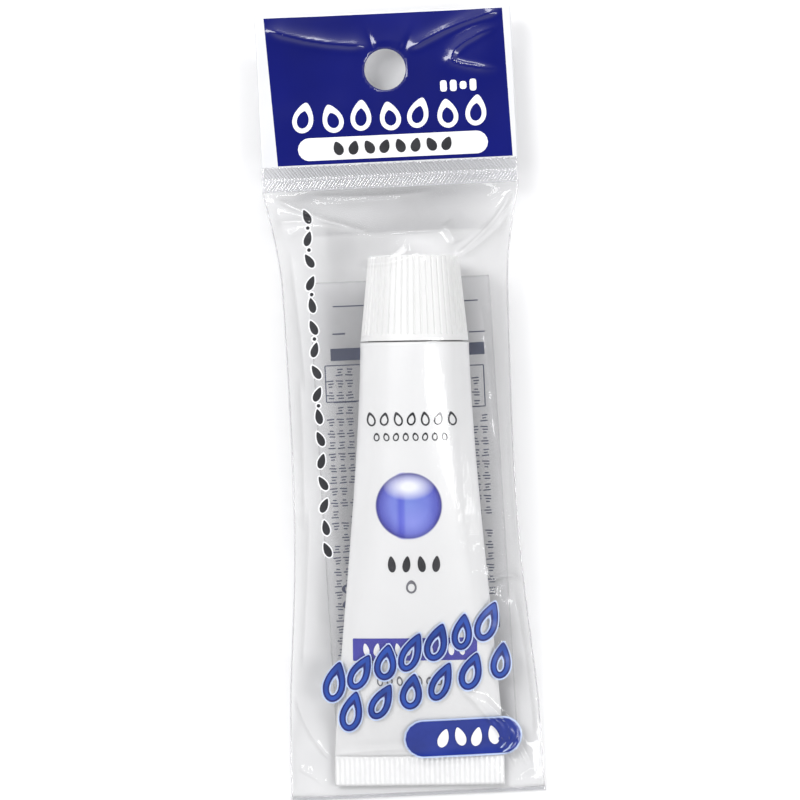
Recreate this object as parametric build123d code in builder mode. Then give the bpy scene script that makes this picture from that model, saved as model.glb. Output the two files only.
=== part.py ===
from build123d import *
from math import acos, atan2, cos, degrees, hypot, pi, radians, sin
import os

# A 20 ml tube of acrylic paint, hanging-shop packed: a laminate tube with a ribbed
# screw cap lies inside a clear film pouch that is welded under a printed header.
#
# Row frame, millimetres: X across, Y along the tube towards the cap and the header,
# Z up from the surface that the pouch lies on. The origin is on that surface, under
# the middle of the pouch. The tube lies along Y; the pouch is turned a little about Z.

# ---- driving dimensions ---------------------------------------------------------
TUBE_DIAMETER = 22.0
TUBE_X = 3.0  # the tube lies this far off the pouch's middle
SLEEVE_END_Y = 12.6  # where the sleeve meets the shoulder
CRIMP_END_Y = -77.7
CRIMP_LENGTH = 6.1
CRIMP_THICKNESS = 0.8
SLEEVE_WALL = 0.35
TUBE_FLOOR = 0.55  # lowest line of the tube, above the back film
PAINT_ML = 20.0

CAP_HEIGHT = 17.2
CAP_FOOT_RADIUS = 10.9
CAP_TOP_RADIUS = 9.15
CAP_GAP = 0.3  # between the cap's foot and the shoulder
CAP_RIBS = 48
CAP_WALL = 1.0
CAP_BAND = 1.2  # plain band below the ribs

THREAD_PITCH = 2.5
THREAD_TURNS = 1.5
THREAD_START = 4.6  # above the sleeve's end
NOZZLE_RADIUS = 4.6
NOZZLE_TOP = 11.6
NOZZLE_BORE = 3.0
BOSS_RADIUS = 5.55  # the cap's threaded boss, inside
RIDGE_HEIGHT = 0.7

POUCH_TURN = 1.93  # degrees about Z
POUCH_LENGTH = 160.0
FILM_WIDTH = 52.0  # flat width of the pouch
FILM = 0.15
HEADER_HEIGHT = 30.9
HEADER_LIFT = 7.5  # the tube inside holds the header up off the surface
HANG_HOLE_RADIUS = 4.2
HANG_HOLE_DROP = 11.8  # below the header's top edge
HEADER_WELD = 4.9
BOTTOM_WELD = 0.8
PANEL_CORNERS = ((-17.6, 25.6), (19.2, 25.0), (20.8, -68.0), (-16.2, -66.6))

# ---- derived places ---------------------------------------------------------------
RADIUS = TUBE_DIAMETER / 2
AXIS_Z = TUBE_FLOOR + RADIUS
PERIMETER = pi * TUBE_DIAMETER
CRIMP_START_Y = CRIMP_END_Y + CRIMP_LENGTH
POUCH_TOP = POUCH_LENGTH / 2
HEADER_FOOT = POUCH_TOP - HEADER_HEIGHT
WELD_FOOT = HEADER_FOOT - HEADER_WELD
POUCH_BOTTOM = -POUCH_LENGTH / 2
FILM_BOTTOM = POUCH_BOTTOM + BOTTOM_WELD
CAP_LIFT = THREAD_PITCH * THREAD_TURNS
CAP_TOP_Y = SLEEVE_END_Y + CAP_GAP + CAP_HEIGHT

TUBE_AXIS = Axis((TUBE_X, 0, AXIS_Z), (0, 1, 0))
TURNING_PLANE = Plane(origin=(TUBE_X, SLEEVE_END_Y, AXIS_Z), x_dir=(1, 0, 0), z_dir=(0, 0, 1))
TURN = radians(POUCH_TURN)
POUCH_XY = Plane(origin=(0, 0, 0), x_dir=(cos(TURN), sin(TURN), 0), z_dir=(0, 0, 1))
POUCH_XZ = Plane(origin=(0, 0, 0), x_dir=(cos(TURN), sin(TURN), 0), z_dir=(sin(TURN), -cos(TURN), 0))

os.makedirs("parts", exist_ok=True)


def save(piece, name):
    """Labels a finished piece and writes it as its own node."""
    piece.part.label = name
    export_step(piece.part, f"parts/{name}.step")


# ---- the tube's sleeve --------------------------------------------------------------
def half_height(half_width):
    """Half height of the ellipse with the sleeve's fixed perimeter (Ramanujan's formula)."""
    low, high = 0.01, RADIUS
    for _ in range(40):
        b = (low + high) / 2
        a = half_width
        around = pi * (3 * (a + b) - ((3 * a + b) * (a + 3 * b)) ** 0.5)
        low, high = (b, high) if around < PERIMETER else (low, b)
    return (low + high) / 2


def half_width(down):
    """Half width of the sleeve at a distance below its end: round first, flat at the crimp."""
    share = down / (SLEEVE_END_Y - CRIMP_START_Y)
    flattened = 1 - (1 - share**1.5) ** 1.3
    return RADIUS + (CRIMP_WIDTH / 2 - RADIUS) * flattened


CRIMP_WIDTH = PERIMETER / 2
SLEEVE_STEPS = (0.0, 10.0, 20.0, 30.0, 38.0, 46.0, 54.0, 61.0, 68.0, 74.0, 79.5)
CRIMP_RISE = 0.45  # the crimp lies this much above the tube's lowest line
CRIMP_Z = TUBE_FLOOR + CRIMP_RISE + CRIMP_THICKNESS / 2


def sleeve_station(down):
    """Station, half width, half height and centre height of the sleeve's ellipse."""
    wide = half_width(down)
    high = half_height(wide)
    floor = TUBE_FLOOR + CRIMP_RISE * (down / (SLEEVE_END_Y - CRIMP_START_Y)) ** 4
    return SLEEVE_END_Y - down, wide, high, floor + high


SLEEVE_STATIONS = [sleeve_station(down) for down in SLEEVE_STEPS]
SLEEVE_STATIONS.append((CRIMP_START_Y, CRIMP_WIDTH / 2, CRIMP_THICKNESS / 2, CRIMP_Z))


def sleeve_body(inset, stations):
    """A loft through the sleeve's ellipses."""
    with BuildPart() as body:
        for y, a, b, z in stations:
            with BuildSketch(Plane.XZ.offset(-y)):
                with Locations((TUBE_X, z)):
                    Ellipse(a - inset, b - inset)
        loft()
    return body


hollow_stations = [s for s in SLEEVE_STATIONS if s[2] > 2 * SLEEVE_WALL]
sleeve_outside = sleeve_body(0, SLEEVE_STATIONS)
sleeve_inside = sleeve_body(SLEEVE_WALL, hollow_stations)

with BuildPart() as tube_sleeve:
    add(sleeve_outside.part)
    with BuildSketch(Plane.XZ.offset(-CRIMP_START_Y)):
        with Locations((TUBE_X, CRIMP_Z)):
            Rectangle(CRIMP_WIDTH, CRIMP_THICKNESS)
    extrude(amount=CRIMP_LENGTH)
    add(sleeve_inside.part, mode=Mode.SUBTRACT)
save(tube_sleeve, "tube_sleeve")


# ---- shoulder, nozzle and seal --------------------------------------------------------
PLUG_RADIUS = RADIUS - SLEEVE_WALL - 0.05
PLUG_DEPTH = 1.6
CONE_FOOT = 9.5
NOZZLE_FOOT = 2.6
SHOULDER_WALL = 1.1
SEAL_THICKNESS = 0.12
BARRIER_THICKNESS = 0.25


def thread_ridge(start_y, root_radius, height):
    """A helical ridge around the tube's axis; a negative height points inwards."""
    centre = Vector(TUBE_X, start_y, AXIS_Z)
    base, crest, bite = 0.5, 0.25, 0.12 if height > 0 else -0.12
    with BuildPart() as ridge:
        with BuildLine() as path:
            Helix(THREAD_PITCH, CAP_LIFT, root_radius, center=centre, direction=(0, 1, 0))
        start = path.line @ 0
        outwards = (start - Vector(TUBE_X, start.Y, AXIS_Z)).normalized()
        with BuildSketch(Plane(origin=start, x_dir=outwards, z_dir=path.line % 0)):
            Polygon((-bite, base), (-bite, -base), (height, -crest), (height, crest), align=None)
        sweep(path=path.line, is_frenet=True)
    return ridge


with BuildPart() as shoulder_nozzle:
    with BuildSketch(TURNING_PLANE):
        with BuildLine():
            Polyline(
                (NOZZLE_BORE, NOZZLE_TOP),
                (NOZZLE_RADIUS, NOZZLE_TOP),
                (NOZZLE_RADIUS, NOZZLE_FOOT),
                (CONE_FOOT, 0.1),
                (PLUG_RADIUS, 0),
                (PLUG_RADIUS, -PLUG_DEPTH),
                (PLUG_RADIUS - SHOULDER_WALL, -PLUG_DEPTH),
                (CONE_FOOT - SHOULDER_WALL, 0.1 - SHOULDER_WALL),
                (NOZZLE_BORE, NOZZLE_FOOT - SHOULDER_WALL),
                close=True,
            )
        make_face()
    revolve(axis=TUBE_AXIS)
    add(thread_ridge(SLEEVE_END_Y + THREAD_START, NOZZLE_RADIUS, RIDGE_HEIGHT).part)
save(shoulder_nozzle, "shoulder_nozzle")

with BuildPart() as barrier_insert:
    # a thin cone of barrier film that lines the shoulder's underside
    with BuildSketch(TURNING_PLANE):
        with BuildLine():
            Polyline(
                (CONE_FOOT - SHOULDER_WALL, 0.05 - SHOULDER_WALL),
                (NOZZLE_BORE, NOZZLE_FOOT - SHOULDER_WALL - 0.05),
                (NOZZLE_BORE, NOZZLE_FOOT - SHOULDER_WALL - 0.05 - BARRIER_THICKNESS),
                (CONE_FOOT - SHOULDER_WALL, 0.05 - SHOULDER_WALL - BARRIER_THICKNESS),
                close=True,
            )
        make_face()
    revolve(axis=TUBE_AXIS)
save(barrier_insert, "barrier_insert")

with BuildPart() as nozzle_seal:
    with BuildSketch(Plane.XZ.offset(-SLEEVE_END_Y - NOZZLE_TOP)):
        with Locations((TUBE_X, AXIS_Z)):
            Circle(NOZZLE_RADIUS - 0.1)
    extrude(amount=-SEAL_THICKNESS)
save(nozzle_seal, "nozzle_seal")

# ---- paint: fills the sleeve from the shoulder down to its stated volume ----------------
FILL_GAP = 0.05
fill_room = sleeve_body(SLEEVE_WALL + FILL_GAP, hollow_stations)
fill_top_y = SLEEVE_END_Y - PLUG_DEPTH - FILL_GAP


def paint_down_to(bottom_y):
    """The sleeve's room between the shoulder and bottom_y."""
    with BuildPart() as paint:
        add(fill_room.part)
        with Locations((TUBE_X, (fill_top_y + bottom_y) / 2, AXIS_Z)):
            Box(TUBE_DIAMETER * 2, fill_top_y - bottom_y, TUBE_DIAMETER * 2, mode=Mode.INTERSECT)
    return paint


low, high = hollow_stations[-1][0], fill_top_y - 1
for _ in range(12):
    middle = (low + high) / 2
    low, high = (low, middle) if paint_down_to(middle).part.volume < PAINT_ML * 1000 else (middle, high)
paint_fill = paint_down_to(high)
save(paint_fill, "paint_fill")

# ---- screw cap ------------------------------------------------------------------------
CAP_FOOT = CAP_GAP
CAP_TOP = CAP_GAP + CAP_HEIGHT
CEILING = NOZZLE_TOP + SEAL_THICKNESS + 1.1
LINER_THICKNESS = 0.95
BOSS_WALL = 1.25
BOSS_FOOT = 3.4
TOP_PLATE = 1.3
RECESS_RADIUS = 7.0
SPIKE_RADIUS = 1.6
RIB_DEPTH = 0.32
RIB_WIDTH = 0.62
EDGE_BREAK = 0.4


def cap_radius(up):
    """The cap's outer radius at a height above the sleeve's end."""
    return CAP_FOOT_RADIUS + (CAP_TOP_RADIUS - CAP_FOOT_RADIUS) * (up - CAP_FOOT) / CAP_HEIGHT


with BuildPart() as rib_groove:
    for up in (CAP_FOOT + CAP_BAND, CAP_TOP + 1):
        with BuildSketch(Plane.XZ.offset(-SLEEVE_END_Y - up)):
            r = cap_radius(up)
            with Locations((TUBE_X, AXIS_Z)):
                Polygon((r - RIB_DEPTH, 0), (r + 0.4, RIB_WIDTH), (r + 0.4, -RIB_WIDTH), align=None)
    loft(ruled=True)

with BuildPart() as cap_shell:
    with BuildSketch(TURNING_PLANE):
        with BuildLine():
            Polyline(
                (CAP_FOOT_RADIUS, CAP_FOOT),
                (cap_radius(CAP_TOP - EDGE_BREAK), CAP_TOP - EDGE_BREAK),
                (CAP_TOP_RADIUS - EDGE_BREAK, CAP_TOP),
                (RECESS_RADIUS, CAP_TOP),
                (RECESS_RADIUS, CEILING + TOP_PLATE),
                (SPIKE_RADIUS, CEILING + TOP_PLATE),
                (0, CAP_TOP - EDGE_BREAK),
                (0, CEILING),
                (BOSS_RADIUS, CEILING),
                (BOSS_RADIUS, BOSS_FOOT),
                (BOSS_RADIUS + BOSS_WALL, BOSS_FOOT),
                (BOSS_RADIUS + BOSS_WALL, CEILING),
                (cap_radius(CEILING) - CAP_WALL, CEILING),
                (CAP_FOOT_RADIUS - CAP_WALL, CAP_FOOT),
                close=True,
            )
        make_face()
    revolve(axis=TUBE_AXIS)
    for k in range(CAP_RIBS):
        add(rib_groove.part.rotate(TUBE_AXIS, 360 * k / CAP_RIBS), mode=Mode.SUBTRACT)
    add(thread_ridge(SLEEVE_END_Y + THREAD_START + THREAD_PITCH / 2, BOSS_RADIUS, -RIDGE_HEIGHT).part)
save(cap_shell, "cap_shell")

with BuildPart() as cap_liner:
    with BuildSketch(Plane.XZ.offset(-SLEEVE_END_Y - CEILING + 0.05)):
        with Locations((TUBE_X, AXIS_Z)):
            Circle(BOSS_RADIUS - 0.12)
    extrude(amount=LINER_THICKNESS)
save(cap_liner, "cap_liner")

# ---- header, welds ----------------------------------------------------------------------
HEADER_MIDDLE = (POUCH_TOP + HEADER_FOOT) / 2
for name, floor in (("header_back_ply", HEADER_LIFT), ("header_front_ply", HEADER_LIFT + FILM)):
    with BuildPart() as ply:
        with BuildSketch(POUCH_XY.offset(floor)):
            with Locations((0, HEADER_MIDDLE)):
                Rectangle(FILM_WIDTH, HEADER_HEIGHT)
            with Locations((0, POUCH_TOP - HANG_HOLE_DROP)):
                Circle(HANG_HOLE_RADIUS, mode=Mode.SUBTRACT)
        extrude(amount=FILM)
    save(ply, name)

WELD_THICKNESS = 0.45
HEADER_WELD_FLOOR = HEADER_LIFT + FILM - WELD_THICKNESS / 2
for name, middle, length, floor in (
    ("header_weld", (HEADER_FOOT + WELD_FOOT) / 2, HEADER_WELD, HEADER_WELD_FLOOR),
    ("bottom_weld", (POUCH_BOTTOM + FILM_BOTTOM) / 2, BOTTOM_WELD, 0.0),
):
    with BuildPart() as weld:
        with BuildSketch(POUCH_XY.offset(floor)):
            with Locations((0, middle)):
                Rectangle(FILM_WIDTH, length)
        extrude(amount=WELD_THICKNESS)
    save(weld, name)

# ---- pouch films: at each station a film runs straight from its side edges to the
# tube and round it; front and back film meet on a narrow foot along the side edges
FILM_GAP = 0.25
HEADER_WELD_Z = HEADER_WELD_FLOOR + WELD_THICKNESS / 2
BOTTOM_WELD_Z = WELD_THICKNESS / 2
SIDE_FOOT = 0.35
CAP_ROOM_Y = CAP_TOP_Y + CAP_LIFT + 0.7
CRIMP_CORE = (1.1 * CRIMP_WIDTH / 2, 2.4 * CRIMP_THICKNESS / 2, CRIMP_Z)  # an ellipse round the flat crimp
CORE_STATIONS = SLEEVE_STATIONS[:-1] + [(CRIMP_START_Y, *CRIMP_CORE)]


def core_at(y):
    """Half width, half height and centre height of what fills the pouch at station y."""
    if y >= SLEEVE_END_Y:
        r = CAP_FOOT_RADIUS + 0.2
        return r, r, AXIS_Z
    for (y1, *above), (y2, *below) in zip(CORE_STATIONS, CORE_STATIONS[1:]):
        if y2 <= y <= y1:
            part = (y1 - y) / (y1 - y2)
            return tuple(p + part * (q - p) for p, q in zip(above, below))
    return CRIMP_CORE


def tangent_angle(edge_x, edge_z, core, middle_x, upper):
    """The angle on the core's ellipse where a straight film from a side edge touches it."""
    a, b, centre_z = core
    u, v = (edge_x - middle_x) / a, (edge_z - centre_z) / b
    away = degrees(acos(min(1.0, 1 / hypot(u, v))))
    towards = degrees(atan2(v, u))
    if edge_x > middle_x:
        return towards + away if upper else towards - away
    if towards < 0:
        towards += 360
    return towards - away if upper else towards + away


# station, height of the side edges above the surface, half width between them
POUCH_STATIONS = [
    (CAP_ROOM_Y, 8.2, 24.0),
    (CAP_TOP_Y - 3, 8.6, 23.0),
    (SLEEVE_END_Y, 8.6, 22.6),
    (-7.4, 8.6, 22.4),
    (-17.4, 8.2, 22.5),
    (-25.4, 7.4, 22.7),
    (-33.4, 6.4, 23.1),
    (-41.4, 5.2, 23.7),
    (-48.4, 4.0, 24.3),
    (-55.4, 2.8, 24.9),
    (-61.4, 1.8, 25.3),
    (-66.9, 1.1, 25.5),
    (CRIMP_START_Y, 0.9, 25.7),
    (CRIMP_END_Y - 0.9, 0.8, 25.7),
]


def film_section(station, offset, foot, upper):
    """One closed section between the film's path and the line that joins its side edges."""
    y, edge_z, half = station
    reach = half + foot
    # the pouch is turned, so the thicker end of the tube comes a little nearer
    a, b, centre_z = core_at(y if y > 0 else y + 0.7)
    middle_x = TUBE_X + y * sin(TURN)
    core = (a + offset, b + offset, centre_z)
    left = tangent_angle(-reach, edge_z, core, middle_x, upper)
    right = tangent_angle(reach, edge_z, core, middle_x, upper)
    around = left - right if upper else left - (right + 360)

    def on_core(angle):
        return (middle_x + core[0] * cos(radians(angle)), centre_z + core[1] * sin(radians(angle)))

    with BuildSketch(POUCH_XZ.offset(-y)) as section:
        with BuildLine():
            Line((-reach, edge_z), on_core(left))
            EllipticalCenterArc((middle_x, centre_z), core[0], core[1], start_angle=right, arc_size=around)
            Line(on_core(right), (reach, edge_z))
            Line((reach, edge_z), (-reach, edge_z))
        make_face()
    return section.sketch


def end_section(y, weld_z, rise, foot, upper):
    """The nearly flat section where a film runs into a weld at height weld_z."""
    half, middle = FILM_WIDTH / 2 - SIDE_FOOT + foot, FILM_WIDTH / 6
    level = weld_z + (rise if upper else -rise)
    with BuildSketch(POUCH_XZ.offset(-y)) as section:
        with BuildLine():
            Line((-half, weld_z), (-middle, level))
            Line((-middle, level), (middle, level))
            Line((middle, level), (half, weld_z))
            Line((half, weld_z), (-half, weld_z))
        make_face()
    return section.sketch


def film_block(offset, rise, foot, upper):
    """The solid between the side edges and a film surface at an offset from the tube."""
    sections = [end_section(WELD_FOOT, HEADER_WELD_Z, rise, foot, upper)]
    sections += [film_section(station, offset, foot, upper) for station in POUCH_STATIONS]
    sections.append(end_section(FILM_BOTTOM, BOTTOM_WELD_Z, rise, foot, upper))
    with BuildPart() as block:
        loft(sections, ruled=True)
    return block


for name, upper in (("pouch_front_film", True), ("pouch_back_film", False)):
    outside = film_block(FILM_GAP + FILM, FILM + 0.03, SIDE_FOOT, upper)
    inside = film_block(FILM_GAP, 0.03, 0, upper)
    with BuildPart() as film:
        add(outside.part)
        add(inside.part, mode=Mode.SUBTRACT)
    save(film, name)
    print(name, "volume", round(film.part.volume), "solids", len(film.part.solids()))

# ---- instruction panel: a thin printed panel inside the back film, behind the tube -------
panel_outside = film_block(0.18, 0.02, -0.4, False)
panel_inside = film_block(0.08, 0.01, -0.5, False)
with BuildPart() as instruction_panel:
    with BuildSketch(Plane.XY):
        Polygon(*PANEL_CORNERS, align=None)
    extrude(amount=AXIS_Z)
    add(panel_outside.part, mode=Mode.INTERSECT)
    add(panel_inside.part, mode=Mode.SUBTRACT)
save(instruction_panel, "instruction_panel")

print("sleeve", round(tube_sleeve.part.volume), "paint ml", round(paint_fill.part.volume / 1000, 2))
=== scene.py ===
import bpy
from math import acos, atan2, cos, exp, hypot, pi, radians, sin, sqrt
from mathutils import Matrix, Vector, noise


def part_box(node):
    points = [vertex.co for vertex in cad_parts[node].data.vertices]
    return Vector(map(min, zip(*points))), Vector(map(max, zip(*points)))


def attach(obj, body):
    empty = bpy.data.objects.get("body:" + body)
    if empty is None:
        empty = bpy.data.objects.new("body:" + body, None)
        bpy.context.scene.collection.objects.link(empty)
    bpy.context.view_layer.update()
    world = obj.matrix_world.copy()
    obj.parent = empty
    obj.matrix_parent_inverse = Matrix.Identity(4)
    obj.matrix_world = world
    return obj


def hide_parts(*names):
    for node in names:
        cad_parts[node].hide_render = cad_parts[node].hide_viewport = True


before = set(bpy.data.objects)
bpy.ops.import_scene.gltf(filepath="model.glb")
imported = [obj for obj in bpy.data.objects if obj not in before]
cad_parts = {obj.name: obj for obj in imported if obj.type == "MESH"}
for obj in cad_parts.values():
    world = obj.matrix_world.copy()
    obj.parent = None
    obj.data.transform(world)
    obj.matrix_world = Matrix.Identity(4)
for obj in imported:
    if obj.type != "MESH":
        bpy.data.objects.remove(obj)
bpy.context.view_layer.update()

# A paint tube in a clear hanging pouch. Lengths here are millimetres until a mesh is
# made: (x, y) is the row frame, (u, v) the pouch's own frame, turned a little about Z.
MM = 0.001
TURN = radians(1.93)


def node_box(node):
    low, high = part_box(node)
    return [c / MM for c in low], [c / MM for c in high]


cap_low, cap_high = node_box("cap_shell")
sleeve_low, sleeve_high = node_box("tube_sleeve")
AXIS_X = (cap_low[0] + cap_high[0]) / 2
AXIS_Z = (cap_low[2] + cap_high[2]) / 2
SLEEVE_END = sleeve_high[1]
CRIMP_END = sleeve_low[1]
FLOOR = sleeve_low[2]
RADIUS = 11.0
CRIMP_LENGTH = 6.1
CRIMP_START = CRIMP_END + CRIMP_LENGTH
CRIMP_HALF = pi * RADIUS / 2
CRIMP_Z = FLOOR + 0.85
POUCH_TOP, HEADER_FOOT, WELD_FOOT, FILM_END, POUCH_END = 80.0, 49.1, 44.2, -79.2, -80.0
HALF = 26.0
HOLE_V, HOLE_R = 68.2, 4.2
WELD_Z = (node_box("header_weld")[0][2] + node_box("header_weld")[1][2]) / 2
BOTTOM_WELD_Z = 0.3


def clamp(t, low=0.0, high=1.0):
    return max(low, min(high, t))


def smooth(t):
    t = clamp(t)
    return t * t * (3 - 2 * t)


def wave(x, y, seed, scale):
    return noise.noise(Vector((x / scale, y / scale, seed * 7.3)))


def row(u, v, z):
    return (
        (u * cos(TURN) - v * sin(TURN)) * MM,
        (u * sin(TURN) + v * cos(TURN)) * MM,
        z * MM,
    )


# ---- mesh helpers -----------------------------------------------------------------
def make(name, points, faces, material, shade=True, body="packet"):
    mesh = bpy.data.meshes.new(name)
    mesh.from_pydata(points, [], faces)
    mesh.update()
    if shade:
        mesh.polygons.foreach_set("use_smooth", [True] * len(faces))
    piece = bpy.data.objects.new(name, mesh)
    bpy.context.scene.collection.objects.link(piece)
    for m in material if isinstance(material, list) else [material]:
        mesh.materials.append(m)
    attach(piece, body)
    return piece


def grid_faces(rows, cols, start=0, ring=False):
    faces = []
    for j in range(rows - 1):
        for i in range(cols if ring else cols - 1):
            k = (i + 1) % cols
            a, b = start + j * cols, start + (j + 1) * cols
            faces.append((a + i, a + k, b + k, b + i))
    return faces


# ---- materials --------------------------------------------------------------------
def material(
    name, colour, rough=0.4, mottle=0.0, mottle_scale=300.0, bump=0.0, bump_scale=900.0, coat=0.0, metal=0.0
):
    """An opaque material, a little mottled and a little uneven where asked."""
    mat = bpy.data.materials.new(name)
    mat.use_nodes = True
    tree = mat.node_tree
    shader = tree.nodes["Principled BSDF"]
    shader.inputs["Roughness"].default_value = rough
    shader.inputs["Metallic"].default_value = metal
    shader.inputs["Coat Weight"].default_value = coat
    shader.inputs["Base Color"].default_value = (*colour, 1)
    place = tree.nodes.new("ShaderNodeTexCoord").outputs["Object"]
    if mottle:
        speckle = tree.nodes.new("ShaderNodeTexNoise")
        speckle.inputs["Scale"].default_value = mottle_scale
        speckle.inputs["Detail"].default_value = 4
        ramp = tree.nodes.new("ShaderNodeValToRGB")
        ramp.color_ramp.elements[0].position = 0.3
        ramp.color_ramp.elements[1].position = 0.7
        ramp.color_ramp.elements[0].color = (*[c * (1 - mottle) for c in colour], 1)
        ramp.color_ramp.elements[1].color = (*[min(1, c * (1 + mottle)) for c in colour], 1)
        tree.links.new(place, speckle.inputs["Vector"])
        tree.links.new(speckle.outputs["Fac"], ramp.inputs["Fac"])
        tree.links.new(ramp.outputs["Color"], shader.inputs["Base Color"])
    if bump:
        grain = tree.nodes.new("ShaderNodeTexNoise")
        grain.inputs["Scale"].default_value = bump_scale
        grain.inputs["Detail"].default_value = 3
        relief = tree.nodes.new("ShaderNodeBump")
        relief.inputs["Strength"].default_value = bump
        relief.inputs["Distance"].default_value = 0.0002
        tree.links.new(place, grain.inputs["Vector"])
        tree.links.new(grain.outputs["Fac"], relief.inputs["Height"])
        tree.links.new(relief.outputs["Normal"], shader.inputs["Normal"])
    return mat


def film_material(
    name, tint, gloss_low, rough, haze, haze_colour=(0.92, 0.93, 0.95), streak=0.0, steep_painted_shade=0.85
):
    """Clear film: what lies behind shows through, with gloss on top and a little haze. Its see-through colour
    darkens where the film is seen steeply, a painted shade.
    """
    mat = bpy.data.materials.new(name)
    mat.use_nodes = True
    tree = mat.node_tree
    tree.nodes.clear()
    out = tree.nodes.new("ShaderNodeOutputMaterial")
    clear = tree.nodes.new("ShaderNodeBsdfTransparent")
    gloss = tree.nodes.new("ShaderNodeBsdfGlossy")
    gloss.inputs["Roughness"].default_value = rough
    milk = tree.nodes.new("ShaderNodeBsdfDiffuse")
    milk.inputs["Color"].default_value = (*haze_colour, 1)
    facing = tree.nodes.new("ShaderNodeLayerWeight")
    facing.inputs["Blend"].default_value = 0.5
    steep = tree.nodes.new("ShaderNodeMath")
    steep.operation = "POWER"
    steep.inputs[1].default_value = 4.0
    share = tree.nodes.new("ShaderNodeMath")
    share.operation = "MULTIPLY_ADD"
    share.inputs[1].default_value = 0.6
    share.inputs[2].default_value = gloss_low
    hazy = tree.nodes.new("ShaderNodeMixShader")
    hazy.inputs["Fac"].default_value = haze
    glossy = tree.nodes.new("ShaderNodeMixShader")
    # painted shade: the see-through colour falls to 0.6 of the tint as the film turns away from the view
    through = tree.nodes.new("ShaderNodeValToRGB")
    through.color_ramp.elements[0].color = (*tint, 1)
    through.color_ramp.elements[1].color = (*[c * 0.6 for c in tint], 1)
    through.color_ramp.elements.new(0.1).color = (*[c * 0.98 for c in tint], 1)
    through.color_ramp.elements.new(0.4).color = (*[c * steep_painted_shade for c in tint], 1)
    tree.links.new(facing.outputs["Facing"], through.inputs["Fac"])
    tree.links.new(through.outputs["Color"], clear.inputs["Color"])
    tree.links.new(clear.outputs[0], hazy.inputs[1])
    tree.links.new(milk.outputs[0], hazy.inputs[2])
    tree.links.new(facing.outputs["Facing"], steep.inputs[0])
    tree.links.new(steep.outputs[0], share.inputs[0])
    tree.links.new(share.outputs[0], glossy.inputs["Fac"])
    tree.links.new(hazy.outputs[0], glossy.inputs[1])
    tree.links.new(gloss.outputs[0], glossy.inputs[2])
    tree.links.new(glossy.outputs[0], out.inputs["Surface"])
    if streak:
        place = tree.nodes.new("ShaderNodeTexCoord").outputs["Object"]
        stretch = tree.nodes.new("ShaderNodeMapping")
        stretch.inputs["Scale"].default_value = (420, 60, 420)
        drawn = tree.nodes.new("ShaderNodeTexNoise")
        drawn.inputs["Detail"].default_value = 3
        relief = tree.nodes.new("ShaderNodeBump")
        relief.inputs["Strength"].default_value = streak
        relief.inputs["Distance"].default_value = 0.0002
        tree.links.new(place, stretch.inputs["Vector"])
        tree.links.new(stretch.outputs["Vector"], drawn.inputs["Vector"])
        tree.links.new(drawn.outputs["Fac"], relief.inputs["Height"])
        tree.links.new(relief.outputs["Normal"], gloss.inputs["Normal"])
    return mat


WHITE_TUBE = material("tube_laminate", (0.835, 0.835, 0.838), 0.3, 0.012, 120, 0.25, 500, coat=0.25)
WHITE_CAP = material("cap_plastic", (0.82, 0.82, 0.815), 0.42, 0.01, 200, 0.35, 1500)
NATURAL = material("shoulder_plastic", (0.8, 0.8, 0.79), 0.45, 0.03, 300, 0.3)
LINER = material("liner_foam", (0.78, 0.78, 0.75), 0.85, 0.06, 900, 0.6, 2500)
FOIL = material("seal_foil", (0.8, 0.8, 0.82), 0.28, 0.04, 600, 0.5, 700, metal=1.0)
PAINT = material("blue_paint", (0.012, 0.04, 0.36), 0.18, 0.12, 160, 0.4, 220, coat=0.4)
HEADER_BLUE = material("header_blue_ink", (0.0045, 0.0075, 0.135), 0.16, 0.12, 60, 0.25, 160, coat=0.4)
HEADER_WHITE = material("header_white_ink", (0.72, 0.725, 0.745), 0.25, 0.02, 90, 0.2, 200, coat=0.3)
WHITE_INK = material("white_ink", (0.9, 0.9, 0.92), 0.3, 0.03, 500)
BLACK_INK = material("black_ink", (0.018, 0.018, 0.022), 0.35, 0.3, 500)
GREY_INK = material("grey_ink", (0.16, 0.16, 0.18), 0.4, 0.2, 500)
SLATE_INK = material("slate_ink", (0.085, 0.095, 0.15), 0.5, 0.15, 400)
NAVY_INK = material("navy_ink", (0.012, 0.02, 0.16), 0.25, 0.2, 400)
BLUE_INK = material("blue_ink", (0.016, 0.06, 0.33), 0.25, 0.3, 220)
PALE_INK = material("pale_halo_ink", (0.5, 0.6, 0.85), 0.4, 0.1, 300)
PILL_INK = material("pill_ink", (0.014, 0.032, 0.25), 0.22, 0.15, 200)
BAND_INK = material("band_ink", (0.045, 0.042, 0.38), 0.3, 0.15, 250)
CLEAR = film_material("clear_film", (0.997, 0.997, 0.998), 0.04, 0.04, 0.01, streak=0.35)
BACK_CLEAR = film_material("back_film", (0.997, 0.997, 0.998), 0.015, 0.12, 0.01, streak=0.4)
WELD = film_material("weld_film", (0.92, 0.92, 0.93), 0.14, 0.08, 0.26)
PANEL = film_material("panel_ground", (0.985, 0.985, 0.99), 0.01, 0.35, 0.09, (0.9, 0.9, 0.91))

# ---- the tube's sleeve, and the clear space round it ---------------------------------
GIRTH = 2 * pi * RADIUS
SLEEVE_LONG = SLEEVE_END - CRIMP_START


def half_height(a):
    low, high = 0.01, RADIUS
    for _ in range(30):
        b = (low + high) / 2
        around = pi * (3 * (a + b) - sqrt((3 * a + b) * (a + 3 * b)))
        low, high = (b, high) if around < GIRTH else (low, b)
    return (low + high) / 2


SECTIONS = []
for step in range(161):
    share = step / 160
    wide = RADIUS + (CRIMP_HALF - RADIUS) * (1 - (1 - share**1.5) ** 1.3)
    SECTIONS.append((wide, max(0.4, half_height(min(wide, CRIMP_HALF - 0.001)))))


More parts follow.
